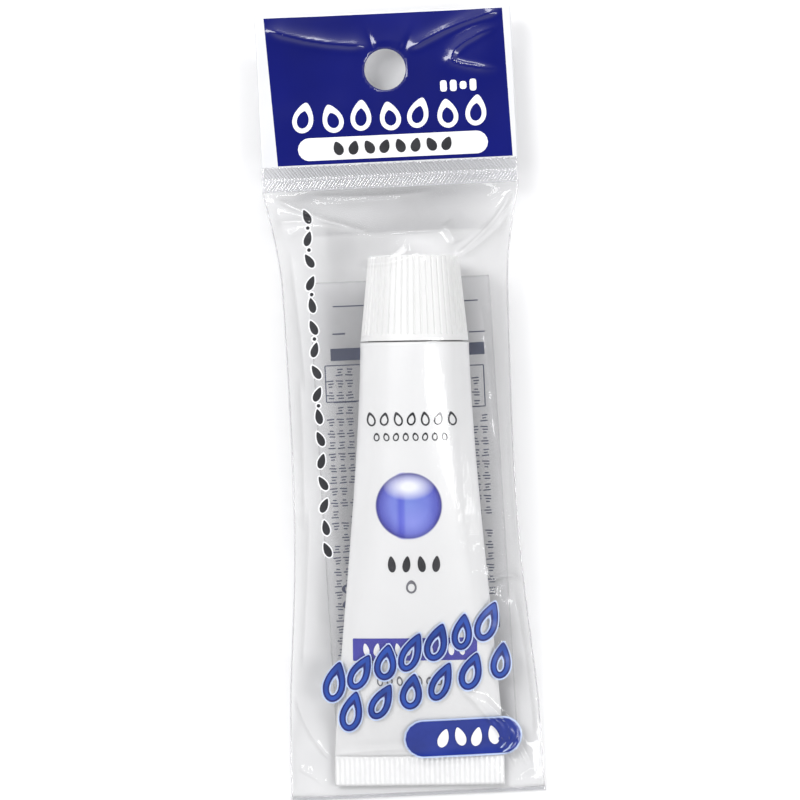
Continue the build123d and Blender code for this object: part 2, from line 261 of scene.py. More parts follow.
def section(y):
    """Half width, half height and centre height of the sleeve at y."""
    share = clamp((SLEEVE_END - y) / SLEEVE_LONG)
    k = min(159, int(share * 160))
    part = share * 160 - k
    a, b = (p + part * (q - p) for p, q in zip(SECTIONS[k], SECTIONS[k + 1]))
    return a, b, FLOOR + 0.45 * share**4 + b


def dents(x, y, below, b):
    """Soft lengthwise dents in the sleeve, and puckers that run into the crimp."""
    soft = 0.24 * wave(x * 1.3 + 40 * below, y * 0.3, 3, 8) * smooth((SLEEVE_END - y) / 14)
    near_crimp = smooth((CRIMP_START + 16 - y) / 16) * (y > CRIMP_START + 0.4)
    return (soft + 0.09 * near_crimp * sin(x * 2.1 + 2.5 * wave(x, y, 9, 9))) * clamp(b / 2)


def tube_top(x, y, lift=0.0):
    """A point on the sleeve's upper side, in metres."""
    a, b, centre = section(y)
    across = clamp((x - AXIS_X) / a, -0.999, 0.999)
    up = sqrt(1 - across * across)
    return (x * MM, y * MM, (centre + (b + dents(x, y, False, b)) * up + lift) * MM)


points = []
LONG, ROUND = 150, 128
for j in range(LONG):
    y = SLEEVE_END - SLEEVE_LONG * j / (LONG - 1)
    a, b, centre = section(y)
    for i in range(ROUND):
        angle = 2 * pi * i / ROUND
        x = AXIS_X + a * cos(angle)
        z = centre + (b + dents(x, y, i > ROUND / 2, b)) * sin(angle)
        points.append((x * MM, y * MM, z * MM))
faces = [f[::-1] for f in grid_faces(LONG, ROUND, ring=True)]
faces.append(tuple(range(ROUND)))
faces.append(tuple(reversed(range((LONG - 1) * ROUND, LONG * ROUND))))
sleeve = make("tube_sleeve_skin", points, faces, WHITE_TUBE)
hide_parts("tube_sleeve")

# the crimp: two faces pressed together with fine ribs across its whole width
points = []
CRIMP_COLS, CRIMP_ROWS = 330, 12
for side in (1, -1):
    for j in range(CRIMP_ROWS):
        t = j / (CRIMP_ROWS - 1)
        y = CRIMP_START + 0.05 - (CRIMP_LENGTH + 0.05) * t
        for i in range(CRIMP_COLS):
            s = 2 * i / (CRIMP_COLS - 1) - 1
            x = AXIS_X + s * CRIMP_HALF
            ribbed = smooth(t * 5) * smooth((1 - t) * 9) * smooth((1 - abs(s)) * 25)
            thick = 0.36 if abs(s) < 0.995 else 0.2
            z = CRIMP_Z + side * thick + 0.11 * ribbed * sin(2 * pi * (x - AXIS_X) / 1.02)
            points.append((x * MM, y * MM, z * MM))
count = CRIMP_COLS * CRIMP_ROWS
faces = [f[::-1] for f in grid_faces(CRIMP_ROWS, CRIMP_COLS)] + grid_faces(CRIMP_ROWS, CRIMP_COLS, count)
rim = list(range(CRIMP_COLS))
rim += [j * CRIMP_COLS + CRIMP_COLS - 1 for j in range(1, CRIMP_ROWS)]
rim += [(CRIMP_ROWS - 1) * CRIMP_COLS + i for i in reversed(range(CRIMP_COLS - 1))]
rim += [j * CRIMP_COLS for j in reversed(range(1, CRIMP_ROWS - 1))]
faces += [(p, q, q + count, p + count) for p, q in zip(rim, rim[1:] + rim[:1])]
crimp = make("tube_crimp", points, faces, WHITE_TUBE)

# ---- the pouch's films ------------------------------------------------------------------
# station along the pouch, height of the side edges, half width between them
STATIONS = [
    (FILM_END, 0.3, 25.8), (CRIMP_END - 0.9, 0.8, 25.75), (CRIMP_START, 0.95, 25.7), (-66.9, 1.1, 25.5),
    (-61.4, 1.8, 25.3), (-55.4, 2.8, 24.9), (-48.4, 4.0, 24.3), (-41.4, 5.2, 23.7), (-33.4, 6.4, 23.1),
    (-25.4, 7.4, 22.7), (-17.4, 8.2, 22.5), (-7.4, 8.6, 22.4), (SLEEVE_END, 8.6, 22.6), (27.1, 8.6, 23.0),
    (34.6, 8.3, 24.0), (WELD_FOOT, WELD_Z, 25.9),
]


def station(v):
    """Height of the side edges and half width at v, on a smooth curve through the stations."""
    if v <= STATIONS[0][0]:
        return STATIONS[0][1:]
    if v >= STATIONS[-1][0]:
        return STATIONS[-1][1:]
    k = max(i for i, s in enumerate(STATIONS) if s[0] <= v)
    k = min(k, len(STATIONS) - 2)
    p0, p1, p2, p3 = (STATIONS[clamp(k + d, 0, len(STATIONS) - 1)] for d in (-1, 0, 1, 2))
    t, gap, found = (v - p1[0]) / (p2[0] - p1[0]), p2[0] - p1[0], []
    for c in (1, 2):
        m1 = (p2[c] - p0[c]) / max(p2[0] - p0[0], 1e-6) * gap
        m2 = (p3[c] - p1[c]) / max(p3[0] - p1[0], 1e-6) * gap
        h = (2 * t**3 - 3 * t * t + 1) * p1[c] + (t**3 - 2 * t * t + t) * m1
        found.append(h + (3 * t * t - 2 * t**3) * p2[c] + (t**3 - t * t) * m2)
    return tuple(found)


def tangent(edge_x, edge_z, a, b, centre, middle, upper):
    across, up = (edge_x - middle) / a, (edge_z - centre) / b
    away = acos(clamp(1 / max(hypot(across, up), 1e-6), -1, 1))
    towards = atan2(up, across)
    if edge_x < middle and towards < 0:
        towards += 2 * pi
    angle = towards + away if (edge_x > middle) == upper else towards - away
    return middle + a * cos(angle), centre + b * sin(angle)


ROWS_DONE = {}
FILM_OFF = 0.3
CAP_ROOM = cap_high[1] + 4.45


def film_row(v, upper):
    key = (round(v, 3), upper)
    if key not in ROWS_DONE:
        edge_z, half = station(v)
        at = min(v, CAP_ROOM)
        if at >= SLEEVE_END:
            a, b, centre = 11.1, 11.1, AXIS_Z
        elif at > CRIMP_START + 4:
            a, b, centre = section(at + 0.7 * smooth(-at / 20))
        else:
            part = smooth((CRIMP_START + 4 - at) / 5)
            a, b, centre = section(max(at, CRIMP_START) + 0.7)
            a, b, centre = a + part * (19 - a), b + part * (0.96 - b), centre + part * (CRIMP_Z - centre)
        a, b = a + FILM_OFF, b + FILM_OFF
        middle = AXIS_X + v * sin(TURN)
        left = tangent(-half, edge_z, a, b, centre, middle, upper)
        right = tangent(half, edge_z, a, b, centre, middle, upper)
        ROWS_DONE[key] = (edge_z, half, a, b, centre, middle, left, right)
    return ROWS_DONE[key]


CAP_TOP_V = cap_high[1]
CAP_MIDDLE = AXIS_X + CAP_TOP_V * sin(TURN)
CAP_TOP_RADIUS = 9.15
CAP_LEFT, CAP_RIGHT = CAP_MIDDLE - CAP_TOP_RADIUS, CAP_MIDDLE + CAP_TOP_RADIUS
EDGE = HALF - 1.5


def bowed(start, end, bow, pieces=5):
    """Corners of a curve from start to end that bows sideways by bow."""
    (u0, v0), (u1, v1) = start, end
    long = hypot(u1 - u0, v1 - v0)
    corners = []
    for k in range(pieces + 1):
        t = k / pieces
        aside = 4 * bow * t * (1 - t) / long
        corners.append((u0 + (u1 - u0) * t - (v1 - v0) * aside, v0 + (v1 - v0) * t + (u1 - u0) * aside))
    return corners


# creases in the front film, each from one named place to another: curve, half width, height
CREASES = [
    (bowed((-18, WELD_FOOT - 0.6), (11, WELD_FOOT - 0.6), -1.2), 0.55, 0.9),
    (bowed((-EDGE, WELD_FOOT - 0.8), (CAP_LEFT + 1.5, CAP_TOP_V + 4.5), -0.8), 0.55, 0.9),
    (bowed((-EDGE, WELD_FOOT - 6.5), (CAP_LEFT - 2.5, CAP_TOP_V + 6), 1.0), 0.5, 0.6),
    (bowed((EDGE + 1, WELD_FOOT - 0.6), (CAP_RIGHT - 2, CAP_TOP_V - 1.5), 1.4), 0.55, 1.1),
    (bowed((EDGE + 1, WELD_FOOT - 4.2), (CAP_RIGHT - 0.6, CAP_TOP_V - 1.3), 1.0), 0.5, 0.8),
    (bowed((CAP_RIGHT - 3, CAP_TOP_V + 6), (CAP_RIGHT - 0.6, CAP_TOP_V + 1.5), 0.2), 0.9, 0.7),
    (bowed((CAP_LEFT - 2.3, CAP_TOP_V - 1.5), (CAP_LEFT + 12, CAP_TOP_V), -0.8), 0.45, 0.5),
    (bowed((16, -37), (EDGE - 0.4, -38), 2.0), 0.5, 0.9),
    (bowed((21, -38), (EDGE - 0.5, FILM_END + 9), 0.6), 0.7, 0.8),
    (bowed((EDGE - 0.5, 24), (EDGE - 2, -35), -1.8), 0.8, 0.6),
    (bowed((17, 21), (19, -10), 0.3), 0.8, 0.4),
    (bowed((-18, CRIMP_START + 1), (6, CRIMP_START + 1), 0.5), 0.5, 0.35),
    (bowed((-EDGE, CRIMP_START + 14), (-17, CRIMP_START - 1), -1.0), 0.5, 0.5),
    (bowed((-EDGE, FILM_END + 6), (-19, FILM_END + 2), 0.5), 0.5, 0.4),
]
for k in range(3):
    foot = (EDGE - 3.5 + 1.3 * k, FILM_END + 2.3 + 0.7 * k)
    CREASES.append((bowed((9.4 + 1.6 * k, CRIMP_START + 14 - 0.8 * k), foot, 1.2), 0.4, 0.6))
    CREASES.append((bowed((-21 + 0.9 * k, 33 - 25 * k), (-19 - 1.8 * k, 2 - 28 * k), 0.3), 0.8, 0.5))


def crease(u, v, corners, wide):
    """A ridge along a line of corners: steep on one side, sinking slowly on the other."""
    best, side, fade = 9e9, 1.0, 0.0
    many = len(corners) - 1
    for k, ((u0, v0), (u1, v1)) in enumerate(zip(corners, corners[1:])):
        du, dv = u1 - u0, v1 - v0
        t = clamp(((u - u0) * du + (v - v0) * dv) / (du * du + dv * dv))
        off = hypot(u - u0 - t * du, v - v0 - t * dv)
        if off < best:
            best = off
            side = (u - u0) * dv - (v - v0) * du
            along = (k + t) / many
            fade = smooth(along * 6) * smooth((1 - along) * 6)
    reach = wide if side > 0 else 2.0 * wide
    return exp(-((best / reach) ** 1.2)) * fade


def folds(u, v):
    high = 0.0
    for u0, v0, u1, v1, wide, tall in FOLDS:
        if min(v0, v1) - 4 < v < max(v0, v1) + 4:
            du, dv = u1 - u0, v1 - v0
            t = ((u - u0) * du + (v - v0) * dv) / (du * du + dv * dv)
            if -0.1 < t < 1.1:
                bow = 0.35 * sin(pi * t) * wave(u0, v0, 5, 3)
                off = abs((u - u0) * dv - (v - v0) * du) / hypot(du, dv) + bow
                ridge = exp(-((max(off, 0) / wide / 0.85) ** 1.15))
                high += 1.5 * tall * ridge * smooth(t * 5) * smooth((1 - t) * 5)
    return high


def reach_of(corners):
    us, vs = [c[0] for c in corners], [c[1] for c in corners]
    return min(us) - 5, max(us) + 5, min(vs) - 5, max(vs) + 5


CREASE_BOXES = [(reach_of(corners), corners, wide, tall) for corners, wide, tall in CREASES]


def folds(u, v):
    high = 0.0
    for (left, right, low, top), corners, wide, tall in CREASE_BOXES:
        if left < u < right and low < v < top:
            high += 1.5 * tall * crease(u, v, corners, 0.9 * wide)
    return high


def film_z(u, v, upper=True, lift=0.0):
    """Height of a film at (u, v)."""
    edge_z, half, a, b, centre, middle, left, right = film_row(v, upper)
    u = clamp(u, -half, half)
    side = 1 if upper else -1
    if u < left[0]:
        t = (u + half) / max(left[0] + half, 1e-6)
        z, free = edge_z + t * (left[1] - edge_z), sin(pi * clamp(t))
    elif u > right[0]:
        t = (half - u) / max(half - right[0], 1e-6)
        z, free = edge_z + t * (right[1] - edge_z), sin(pi * clamp(t))
    else:
        z, free = centre + side * b * sqrt(max(0.0, 1 - ((u - middle) / a) ** 2)), 0.0
    calm = smooth((half - abs(u)) / 2.5)
    if v > CAP_ROOM:
        t = (v - CAP_ROOM) / (WELD_FOOT - CAP_ROOM)
        z = WELD_Z + (z - WELD_Z) * (1 - smooth(t) * 0.35 - 0.65 * t) * (1 - 0.25 * sin(pi * t))
        free = max(free, sin(pi * t) ** 0.5)
    if upper:
        ends = smooth((WELD_FOOT - v) / 2.5) * smooth((v - FILM_END) / 2)
        loose = 0.18 + 0.82 * free
        broad, fine_waves = wave(u, v * 0.45, 1, 6.5), wave(u, v, 2, 2.6)
        z += ends * calm * (0.5 * free + loose * 0.55 * broad + 0.12 * fine_waves * loose)
        if v < CRIMP_START + 6:
            z += 0.5 * ends * calm * smooth((CRIMP_START + 6 - v) / 6) * max(0, wave(u, v, 4, 7))
        z += ends * calm * folds(u, v)
    else:
        ends = smooth((WELD_FOOT - v) / 3)
        z -= 0.35 * free * calm * ends * smooth((z - 0.5) / 2)
        z = max(0.06, z + 0.25 * free * calm * ends * wave(u, v * 0.4, 6, 7))
    return z + lift


def film_at(u, v, lift=0.0):
    return row(u, v, film_z(u, v, True, lift))


def panel_at(u, v, lift=0.0):
    return row(u, v, film_z(u, v, False, 0.08 + lift))


FILM_ROWS, FILM_COLS = 360, 170
for name, upper, mat, node in (
    ("pouch_front_sheet", True, CLEAR, "pouch_front_film"),
    ("pouch_back_sheet", False, BACK_CLEAR, "pouch_back_film"),
):
    points = []
    for j in range(FILM_ROWS):
        v = FILM_END + (WELD_FOOT - FILM_END) * j / (FILM_ROWS - 1)
        half = film_row(v, upper)[1]
        for i in range(FILM_COLS):
            u = half * (2 * i / (FILM_COLS - 1) - 1)
            points.append(row(u, v, film_z(u, v, upper)))
    faces = grid_faces(FILM_ROWS, FILM_COLS)
    if not upper:
        faces = [f[::-1] for f in faces]
    film = make(name, points, faces, mat)
    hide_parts(node)

# a fine rounded fold where front and back film meet along each side
points, faces = [], []
for side in (-1, 1):
    start = len(points)
    for j in range(FILM_ROWS):
        v = FILM_END + (WELD_FOOT - FILM_END) * j / (FILM_ROWS - 1)
        edge_z, half = film_row(v, True)[:2]
        for i in range(6):
            angle = 2 * pi * i / 6
            points.append(row(side * half + 0.13 * cos(angle), v, edge_z + 0.13 * sin(angle)))
    faces += [f[::-1] for f in grid_faces(FILM_ROWS, 6, start, ring=True)]
    faces.append(tuple(start + i for i in range(6)))
    faces.append(tuple(start + (FILM_ROWS - 1) * 6 + i for i in reversed(range(6))))
side_folds = make("pouch_side_folds", points, faces, WELD)

# ---- header, with its hang hole, and the welds --------------------------------------------
OVER_HOLE = HOLE_V + HOLE_R + 0.8
hook = []
for k in range(-4, 5):
    arm = 6.4 if k > 0 else 2.8
    hook.append((13.6 + 10.6 * (k / 4) ** 2, HOLE_V + 1.6 + arm * k / 4))
HEADER_CREASES = [
    (bowed((-EDGE, POUCH_TOP - 2.4), (-2.6, OVER_HOLE), -1.1), 1.0, 0.55),
    (bowed((4.2, HOLE_V + 3.4), (EDGE, POUCH_TOP - 0.8), 0.9), 0.8, 0.6),
    (bowed((-2.6, OVER_HOLE), (4.2, OVER_HOLE - 0.6), 1.0), 1.4, 0.25),
    (hook, 0.7, 0.5),
]


def header_z(u, v):
    z = WELD_Z + 0.28 * wave(u, v, 11, 15) + 0.12 * wave(u, v, 12, 6)
    z += 1.1 * smooth((abs(u) - 12) / 14) * smooth((v - 62) / 18) - 1.4 * ((v - HEADER_FOOT) / 31) ** 2
    for corners, wide, tall in HEADER_CREASES:
        z += 1.3 * tall * crease(u, v, corners, 0.8 * wide)
    near = smooth((v - HEADER_FOOT + 1) / 4)
    return z * near + WELD_Z * (1 - near)


def header_at(u, v, lift=0.0):
    return row(u, v, header_z(u, v) + lift)


def panel_edges(v):
    """Left and right edge of the printed blue field at v: it is set a little askew."""
    t = (v - HEADER_FOOT) / (POUCH_TOP - HEADER_FOOT)
    return -22.6 - 1.6 * t, 25.1 - 0.8 * t


def header_ply(name, lift, thick, mats, node):
    """A sheet with a round hole: a grid whose columns follow the printed field's edges."""
    rows, across = 84, (6, 118, 4)
    places, kind = [], []
    for j in range(rows):
        v = HEADER_FOOT + (POUCH_TOP - HEADER_FOOT) * j / (rows - 1)
        left, right = panel_edges(v)
        line = [-HALF + (left + HALF) * i / across[0] for i in range(across[0])]
        line += [left + (right - left) * i / across[1] for i in range(across[1])]
        line += [right + (HALF - right) * i / across[2] for i in range(across[2] + 1)]
        places.append([(u, v) for u in line])
    cols = len(places[0])
    flat = [p for line in places for p in line]
    keep = [hypot(u, v - HOLE_V) > HOLE_R - 0.12 for u, v in flat]
    used, quads = {}, []
    for j in range(rows - 1):
        for i in range(cols - 1):
            quad = (j * cols + i, j * cols + i + 1, (j + 1) * cols + i + 1, (j + 1) * cols + i)
            if all(keep[k] for k in quad):
                quads.append(quad)
                kind.append(1 if i < across[0] or i >= across[0] + across[1] or j < 1 or j >= rows - 2 else 0)
    edges = {}
    for quad in quads:
        for p, q in zip(quad, quad[1:] + quad[:1]):
            edges[(p, q)] = edges.get((p, q), 0) + 1
    border = [(p, q) for p, q in edges if (q, p) not in edges]
    for k in {k for pair in border for k in pair}:
        u, v = flat[k]
        far = hypot(u, v - HOLE_V)
        if far < HOLE_R + 1.2:
            flat[k] = (u / far * HOLE_R, HOLE_V + (v - HOLE_V) / far * HOLE_R)
    points = []
    for quad in quads:
        for k in quad:
            if k not in used:
                used[k] = len(points)
                points.append(header_at(*flat[k], lift + thick))
    top = len(points)
    faces = [tuple(used[k] for k in quad) for quad in quads]
    points += [(x, y, z - thick * MM) for x, y, z in points]
    faces += [tuple(top + used[k] for k in reversed(quad)) for quad in quads]
    faces += [(used[q], used[p], top + used[p], top + used[q]) for p, q in border]
    ply = make(name, points, faces, mats)
    kind = kind + [1] * (len(faces) - len(kind))
    if len(mats) > 1:
        ply.data.polygons.foreach_set("material_index", kind)
    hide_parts(node)
    return ply


front_ply = header_ply("header_front_sheet", 0.08, 0.06, [HEADER_BLUE, HEADER_WHITE], "header_front_ply")
back_ply = header_ply("header_back_sheet", -0.06, 0.06, [HEADER_WHITE], "header_back_ply")


def weld_strip(name, low, high, level, node, relief, rows, cols):
    """Two films melted together, with a pressed pattern: relief(u, v) is its height."""
    points = []
    for side in (1, -1):
        for j in range(rows):
            v = low + (high - low) * j / (rows - 1)
            for i in range(cols):
                u = HALF * (2 * i / (cols - 1) - 1)
                inside = smooth((HALF - abs(u)) * 2) * smooth((v - low) * 3) * smooth((high - v) * 3)
                wavy = 0.12 * wave(u, v, 21, 11)
                z = level + wavy * inside + side * 0.07 + relief(u, v) * inside
                points.append(row(u, v, z))
    count = rows * cols
    faces = grid_faces(rows, cols) + [f[::-1] for f in grid_faces(rows, cols, count)]
    rim = list(range(cols)) + [j * cols + cols - 1 for j in range(1, rows)]
    rim += [(rows - 1) * cols + i for i in reversed(range(cols - 1))]
    rim += [j * cols for j in reversed(range(1, rows - 1))]
    faces += [(q, p, p + count, q + count) for p, q in zip(rim, rim[1:] + rim[:1])]
    strip = make(name, points, faces, WELD)
    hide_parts(node)
    return strip


def knurl(u, v):
    """Two bands of slanting ribs that meet in a zigzag."""
    middle = (HEADER_FOOT + WELD_FOOT) / 2
    slant = u + 0.75 * abs(v - middle)
    return 0.3 * sin(2 * pi * slant / 1.3) * smooth(abs(v - middle) * 4)


def uneven(u, v):
    """The bottom weld's slight waviness."""
    return 0.05 * wave(u, v, 8, 2)


weld_strip("header_weld_strip", WELD_FOOT, HEADER_FOOT + 0.3, WELD_Z, "header_weld", knurl, 26, 420)
weld_strip("bottom_weld_strip", POUCH_END, FILM_END, BOTTOM_WELD_Z, "bottom_weld", uneven, 5, 160)

# ---- instruction panel behind the tube -------------------------------------------------------
points = []
PANEL_ROWS, PANEL_COLS = 130, 60
for side in (0, 1):
    for j in range(PANEL_ROWS):
        v = -67.4 + (25.6 + 67.4) * j / (PANEL_ROWS - 1)
        for i in range(PANEL_COLS):
            down = j / (PANEL_ROWS - 1)
            left, right = -16.2 - 1.4 * down, 20.8 - 1.6 * down
            u = left + (right - left) * i / (PANEL_COLS - 1)
            points.append(panel_at(u, v, 0.04 * (1 - side)))
count = PANEL_ROWS * PANEL_COLS
faces = grid_faces(PANEL_ROWS, PANEL_COLS) + [f[::-1] for f in grid_faces(PANEL_ROWS, PANEL_COLS, count)]
rim = list(range(PANEL_COLS)) + [j * PANEL_COLS + PANEL_COLS - 1 for j in range(1, PANEL_ROWS)]
rim += [(PANEL_ROWS - 1) * PANEL_COLS + i for i in reversed(range(PANEL_COLS - 1))]
rim += [j * PANEL_COLS for j in reversed(range(1, PANEL_ROWS - 1))]
faces += [(q, p, p + count, q + count) for p, q in zip(rim, rim[1:] + rim[:1])]
panel = make("instruction_sheet", points, faces, PANEL)
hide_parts("instruction_panel")

# ---- printed marks: plain bars, dots and drops, each laid on its own surface --------------------
def bar(cx, cy, wide, tall, tilt=0.0, corner=None, step=0.7):
    """A rounded bar as a fine grid."""
    corner = min(wide, tall) / 2 if corner is None else min(corner, wide / 2, tall / 2)
    rows = [0.0, 0.08, 0.25, 0.5, 0.75, 1.0]
    ys = [-tall / 2 + corner * (1 - cos(pi / 2 * r)) for r in rows]
    inner = tall - 2 * corner
    more = max(1, int(inner / step))
    ys += [-tall / 2 + corner + inner * k / more for k in range(1, more)]
    ys += [-y for y in reversed(ys[:6])] if inner > 1e-6 else [-y for y in reversed(ys[:5])]
    cols = max(4, int(wide / step) + 1)
    turn, places = radians(tilt), []
    for y in ys:
        deep = clamp((abs(y) - (tall / 2 - corner)) / corner) if corner else 0.0
        half = wide / 2 - corner * (1 - sqrt(max(0.0, 1 - deep * deep)))
        half = max(half, 0.02)
        for i in range(cols):
            x = half * (2 * i / (cols - 1) - 1)
            places.append((cx + x * cos(turn) - y * sin(turn), cy + x * sin(turn) + y * cos(turn)))
    return places, grid_faces(len(ys), cols)


def drop(cx, cy, wide, tall, tilt=0.0, point=0.6, grow=0.0, rings=5, around=40):
    """A drop or a leaf with its point up; point 0 is an ellipse."""
    turn, places = radians(tilt), []
    for k in range(1, rings + 1):
        for i in range(around):
            angle = 2 * pi * i / around
            narrow = 1 - point * (0.5 + 0.5 * sin(angle)) ** 2 * 0.85
            x = (wide / 2 * narrow + grow) * cos(angle) * k / rings
            y = (tall / 2 + grow) * sin(angle) * k / rings
            places.append((cx + x * cos(turn) - y * sin(turn), cy + x * sin(turn) + y * cos(turn)))
    places.append((cx, cy))
    faces = grid_faces(rings, around, ring=True)
    faces = [f[::-1] for f in faces]
    faces += [(len(places) - 1, i, (i + 1) % around) for i in range(around)]
    return places, faces


def frame_lines(cx, cy, wide, tall, line=0.22):
    return [
        bar(cx, cy + tall / 2, wide, line), bar(cx, cy - tall / 2, wide, line),
        bar(cx - wide / 2, cy, line, tall), bar(cx + wide / 2, cy, line, tall),
    ]


def marks(name, shapes, place, lift, mat):
    """Lays flat shapes on the surface that place describes, lift above it, as one piece."""
    points, faces = [], []
    for flat, quads in shapes:
        start = len(points)
        points += [place(p, q, lift) for p, q in flat]
        faces += [tuple(start + k for k in quad) for quad in quads]
    piece = make(name, points, faces, mat)
    return piece


def hollow(cx, cy, wide, tall, tilt, line, point=0.6):
    """The outline of a drop, line wide."""
    turn, places, around = radians(tilt), [], 44
    for k in range(3):
        for i in range(around):
            angle = 2 * pi * i / around
            narrow = 1 - point * (0.5 + 0.5 * sin(angle)) ** 2 * 0.85
            x = max(0.02, wide / 2 * narrow - line * k / 2) * cos(angle)
            y = (tall / 2 - line * k / 2 * (1 + 0.8 * max(0, sin(angle)))) * sin(angle)
            places.append((cx + x * cos(turn) - y * sin(turn), cy + x * sin(turn) + y * cos(turn)))
    return places, grid_faces(3, around, ring=True)


# header: a row of white drops, a small mark above it, and a white pill with dark dabs
TITLE_V = 58.9
title = []
for k in range(7):
    u, lean = -17.0 + 5.85 * k, (-14, 16, -4, 10, -18, 6, -8)[k]
    title.append(hollow(u, TITLE_V + 0.2 * (-1) ** k, 4.7, 6.3 - 0.4 * (k % 2), lean, 0.95))
title += [bar(11.7 + 2.0 * k, 64.3, 1.35, (2.3, 2.3, 1.6, 2.4)[k], 0, 0.5) for k in range(4)]
marks("header_title_marks", title, header_at, 0.2, WHITE_INK)
marks("header_pill", [bar(0.9, 52.6, 38.6, 4.6)], header_at, 0.2, WHITE_INK)
dabs = [drop(-10.2 + 3.15 * k, 52.6, 2.2, 2.9, (20, -16, 28, -24)[k % 4], 0.5) for k in range(8)]
marks("header_pill_marks", dabs, header_at, 0.26, BLACK_INK)

# front film: a column of dark dabs, two slanting rows of blue drops, and a blue pill
column = []
for k in range(16):
    v = 38.9 - 4.5 * k
    u = -17.2 + 0.015 * (38.9 - v)
    column.append((u, v, 1.7, 3.1, (22, -18, 30, -26, 10)[k % 5], 0.65))
    if k in (0, 1, 3, 5, 8):
        column.append((u + 0.1, v - 2.3, 0.75, 0.75, 0, 0.0))
marks("film_column_halo", [drop(*c, grow=0.28) for c in column], film_at, 0.06, WHITE_INK)
marks("film_column_marks", [drop(*c) for c in column], film_at, 0.14, BLACK_INK)
drops = []
for count, (u0, v0), (u1, v1) in ((7, (-15.9, -55.6), (15.6, -44.6)), (6, (-12.8, -61.8), (18.0, -52.8))):
    for k in range(count):
        t = k / (count - 1)
        lean = (-16, -30, -12, -26, -20, -10, -24)[k]
        wide, tall = 4.9 - 0.4 * (k % 2), 8.3 - 0.5 * (k % 3)
        drops.append((u0 + (u1 - u0) * t, v0 + (v1 - v0) * t, wide, tall, lean, 0.7))
for name, more, line, lift, ink in (
    ("film_drop_halo", 0.8, 2.0, 0.06, PALE_INK),
    ("film_drop_outline", 0.2, 1.4, 0.14, NAVY_INK),
    ("film_drop_fill", -0.6, 0.7, 0.22, BLUE_INK),
):
    rings = []
    for u, v, wide, tall, lean, point in drops:
        rings.append(hollow(u, v, wide + more, tall + more, lean, line, point))
    marks(name, rings, film_at, lift, ink)
marks("film_pill_rim", [bar(9.6, -68.2, 24.2, 8.0, step=0.3)], film_at, 0.12, PALE_INK)
marks("film_pill", [bar(9.6, -68.2, 23.5, 7.3, step=0.3)], film_at, 0.26, PILL_INK)
dabs = []
for k, lean in enumerate((-20, 16, -14, 12)):
    dabs.append(drop(5.6 + 3.4 * k, -68.2 + 0.2 * (k % 2), 2.4, 4.0, lean, 0.6, rings=9))
marks("film_pill_marks", dabs, film_at, 0.46, WHITE_INK)

# instruction panel: slate bar, ruled lines, boxes and columns of fine short strokes
lines = [bar(1.9, 10.8, 31.3, 2.5, 0, 0.1), bar(1.9, 20.6, 29.6, 0.26), bar(-11.9, 15.0, 2.6, 0.3)]
lines += [bar(16.2, 14.2, 3.2, 0.26), bar(-11.2, 1.1, 4.6, 0.26)]
STROKE_COLUMNS = (  # middle, top, bottom, strokes side by side
    (-12.1, 7.2, 2.0, 3), (-12.3, -0.6, -50.0, 3), (15.5, 6.6, -0.8, 1), (15.9, -3.4, -41.0, 2),
)
for column_u, top_v, bottom_v, many in STROKE_COLUMNS:
    v, k = top_v, 0
    while v > bottom_v:
        for n in range(many):
            if (k * 7 + n * 3) % 11:
                u = column_u + 1.95 * (n - (many - 1) / 2)
                for r in range(3):
                    size = 1.5 - 0.35 * ((k * 5 + n * 3 + r * 2) % 3)
                    x, y, lean = u + 0.1 * ((k + r) % 3 - 1), v + 0.58 * (r - 1), (0, 4, -4)[(k + n) % 3]
                    lines.append(bar(x, y, size, 0.24, lean, 0.1, 0.5))
        v -= 2.35
        k += 1
lines += frame_lines(-9.0, 4.9, 12.0, 7.4) + frame_lines(13.4, 3.2, 7.6, 8.4)
lines += frame_lines(16.6, -44.6, 3.0, 3.0)
lines += [hollow(-12.6, -37.0 - 3.2 * k, 2.0, 2.2, 90 + 12 * k, 0.4, 0.2) for k in range(8)]
marks("instruction_marks", lines, panel_at, 0.09, SLATE_INK)

# tube: a row of fine drops, a smaller row, four drops under the ball, a band, a small row
fine = []
for k, lean in enumerate((12, -10, 16, -14, 8, -16, 12)):
    fine.append(hollow(-6.0 + 2.72 * k, -2.8, 2.0, 2.9 - 0.2 * (k % 2), lean, 0.34))
fine += [hollow(-4.9 + 1.95 * k, -6.4, 1.3, 1.7, (0, 14, -12)[k % 3], 0.24, 0.3) for k in range(8)]
fine += [drop(-2.2 + 3.0 * k, -32.1, 1.75, 3.3, (6, -8, 10, -6)[k], 0.5) for k in range(4)]
marks("tube_dark_marks", fine, tube_top, 0.06, BLACK_INK)
small = [hollow(1.7, -36.7, 2.3, 2.7, 0, 0.4, 0.3)]
for k in range(8):
    tall, lean = (2.1, 1.7, 2.0, 1.6)[k % 4], 8 * (-1) ** k
    small.append(hollow(-4.9 + 2.0 * k, -56.0, 1.3, tall, lean, 0.26, 0.3))
marks("tube_grey_marks", small, tube_top, 0.06, GREY_INK)
marks("tube_band", [bar(2.3, -49.5, 25.2, 4.6, 0, 0.25)], tube_top, 0.06, BAND_INK)
band_drops = [drop(-7.6 + 2.15 * k, -49.5, 1.3, 2.6, (12, -10, 6)[k % 3], 0.5) for k in range(10)]
marks("tube_band_marks", band_drops, tube_top, 0.12, WHITE_INK)

